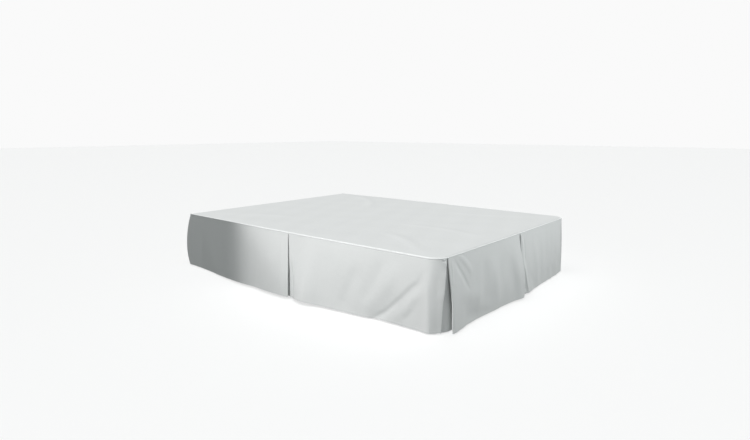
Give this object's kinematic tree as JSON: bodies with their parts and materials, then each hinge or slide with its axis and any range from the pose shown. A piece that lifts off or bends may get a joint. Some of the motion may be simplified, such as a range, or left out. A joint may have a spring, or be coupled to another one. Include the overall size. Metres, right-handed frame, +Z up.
{
  "type": "bed skirt on a box spring and bed frame",
  "caption": "Tailored bed skirt with split pleats at its corners and centres, hanging from a flat deck to just off the floor over a box spring on a low metal bed frame.",
  "frame": {"origin": "centre of the bounding box on the floor, which the bed frame's glides stand on", "axes": "+Z up, +Y from the foot of the bed towards its head, +X to the right as seen from the foot"},
  "size_m": [1.6924, 2.1462, 0.36],
  "materials": {
    "white_microfibre": "matte, finely woven",
    "box_spring_ticking": "matte woven ticking",
    "brown_painted_steel": "satin",
    "black_plastic": "moulded, matte"
  },
  "bodies": {
    "root": {"deck": "white_microfibre", "side_drop_left_head": "white_microfibre", "side_drop_left_foot": "white_microfibre", "foot_drop_left": "white_microfibre", "foot_drop_right": "white_microfibre", "side_drop_right_foot": "white_microfibre", "side_drop_right_head": "white_microfibre", "pleat_back_left": "white_microfibre", "pleat_back_foot_left": "white_microfibre", "pleat_back_foot": "white_microfibre", "pleat_back_foot_right": "white_microfibre", "pleat_back_right": "white_microfibre", "box_spring": "box_spring_ticking", "side_rail_left": "brown_painted_steel", "side_rail_right": "brown_painted_steel", "cross_bar_foot": "brown_painted_steel", "cross_bar_middle": "brown_painted_steel", "cross_bar_head": "brown_painted_steel", "leg_foot_left": "brown_painted_steel", "leg_foot_right": "brown_painted_steel", "leg_middle_left": "brown_painted_steel", "leg_middle_right": "brown_painted_steel", "leg_middle_centre": "brown_painted_steel", "leg_head_left": "brown_painted_steel", "leg_head_right": "brown_painted_steel", "glide_foot_left": "black_plastic", "glide_foot_right": "black_plastic", "glide_middle_left": "black_plastic", "glide_middle_right": "black_plastic", "glide_middle_centre": "black_plastic", "glide_head_left": "black_plastic", "glide_head_right": "black_plastic"}
  },
  "joints": []
}
